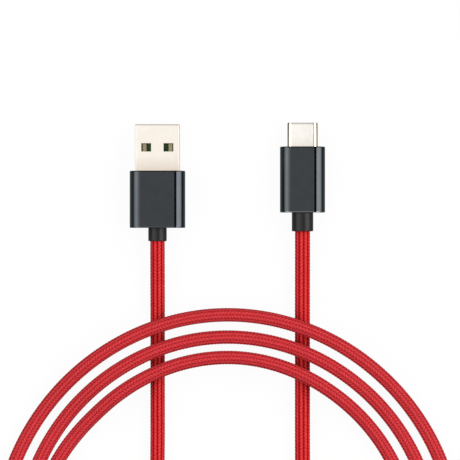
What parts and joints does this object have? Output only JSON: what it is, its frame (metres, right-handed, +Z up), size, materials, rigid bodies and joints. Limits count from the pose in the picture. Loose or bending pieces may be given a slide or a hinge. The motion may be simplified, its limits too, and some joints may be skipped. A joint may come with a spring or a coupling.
{
  "type": "charging cable",
  "caption": "Braided charging cable laid flat in a loose coil, with a USB-A plug on one end and a USB-C plug on the other.",
  "frame": {"origin": "on the surface that the cable lies on, under the middle of the box around the two plugs", "axes": "+Z up off that surface; +Y the way both plugs push into their sockets; +X from the USB-A plug towards the USB-C plug"},
  "size_m": [0.1272, 0.1575, 0.0078],
  "materials": {
    "shell_metal": "pale gold plated steel, satin",
    "green_plastic": "dark green moulded plastic, matte",
    "contact_metal": "gold plated copper alloy, bright",
    "circuit_board": "green solder mask over glass fibre board",
    "solder": "tin solder, bright",
    "housing_aluminium": "gunmetal anodised aluminium, fine satin",
    "black_plastic": "black moulded plastic, matte",
    "mould_plastic": "natural moulded plastic, matte",
    "crimp_steel": "plated steel, satin",
    "spring_steel": "stainless spring steel, satin",
    "collar_rubber": "dark grey flexible plastic, matte",
    "inner_jacket": "black soft plastic, matte",
    "wire_red": "red insulation, satin",
    "wire_white": "white insulation, satin",
    "wire_green": "green insulation, satin",
    "wire_black": "black insulation, satin",
    "cord_braid": "red braided nylon yarn, soft sheen"
  },
  "bodies": {
    "root": {"usb_a_shell": "shell_metal", "usb_a_tongue": "green_plastic", "usb_a_contacts": "contact_metal", "usb_a_terminal_holder": "green_plastic", "usb_a_circuit_board": "circuit_board", "usb_a_solder_joints": "solder", "usb_a_wire_red": "wire_red", "usb_a_wire_white": "wire_white", "usb_a_wire_green": "wire_green", "usb_a_wire_black": "wire_black", "usb_a_inner_mould": "mould_plastic", "usb_a_housing": "housing_aluminium", "usb_a_front_bezel": "black_plastic", "usb_a_crimp_ring": "crimp_steel", "usb_a_collar": "collar_rubber", "usb_a_jacket_end": "inner_jacket", "usb_c_shell": "shell_metal", "usb_c_front_insulator": "black_plastic", "usb_c_contact_tails_upper": "contact_metal", "usb_c_contact_tails_lower": "contact_metal", "usb_c_mid_plate": "spring_steel", "usb_c_rear_insulator": "black_plastic", "usb_c_circuit_board": "circuit_board", "usb_c_resistor": "black_plastic", "usb_c_solder_joints": "solder", "usb_c_wire_red": "wire_red", "usb_c_wire_white": "wire_white", "usb_c_wire_green": "wire_green", "usb_c_wire_black": "wire_black", "usb_c_inner_mould": "mould_plastic", "usb_c_housing": "housing_aluminium", "usb_c_front_bezel": "black_plastic", "usb_c_crimp_ring": "crimp_steel", "usb_c_collar": "collar_rubber", "usb_c_jacket_end": "inner_jacket", "cord_lead_usb_a": "cord_braid", "cord_turn_inner": "cord_braid", "cord_turn_middle": "cord_braid", "cord_turn_outer": "cord_braid", "cord_lead_usb_c": "cord_braid"},
    "upper_contacts": {"usb_c_contact_springs_upper": "contact_metal"},
    "lower_contacts": {"usb_c_contact_springs_lower": "contact_metal"},
    "left_latch": {"usb_c_latch_left": "spring_steel"},
    "right_latch": {"usb_c_latch_right": "spring_steel"},
    "upper_ground_spring": {"usb_c_ground_spring_upper": "spring_steel"},
    "lower_ground_spring": {"usb_c_ground_spring_lower": "spring_steel"}
  },
  "joints": [
    {"name": "upper_contacts_flex", "type": "hinge", "parent": "root", "child": "upper_contacts", "pos_m": [0.0203, 0.01017, 0.00376], "axis": [1, 0, 0], "range_deg": [0, 2], "stiffness_Nm_per_rad": 0.5},
    {"name": "lower_contacts_flex", "type": "hinge", "parent": "root", "child": "lower_contacts", "pos_m": [0.0203, 0.01017, 0.00264], "axis": [-1, 0, 0], "range_deg": [0, 2], "stiffness_Nm_per_rad": 0.3},
    {"name": "left_latch_flex", "type": "hinge", "parent": "root", "child": "left_latch", "pos_m": [0.01679, 0.01005, 0.0032], "axis": [0, 0, 1], "range_deg": [0, 2.8], "stiffness_Nm_per_rad": 0.15},
    {"name": "right_latch_flex", "type": "hinge", "parent": "root", "child": "right_latch", "pos_m": [0.02381, 0.01005, 0.0032], "axis": [0, 0, -1], "range_deg": [0, 2.8], "stiffness_Nm_per_rad": 0.15},
    {"name": "upper_ground_spring_flex", "type": "hinge", "parent": "root", "child": "upper_ground_spring", "pos_m": [0.0203, 0.01315, 0.00406], "axis": [1, 0, 0], "range_deg": [0, 2], "stiffness_Nm_per_rad": 0.1},
    {"name": "lower_ground_spring_flex", "type": "hinge", "parent": "root", "child": "lower_ground_spring", "pos_m": [0.0203, 0.01315, 0.00234], "axis": [-1, 0, 0], "range_deg": [0, 2], "stiffness_Nm_per_rad": 0.1}
  ]
}
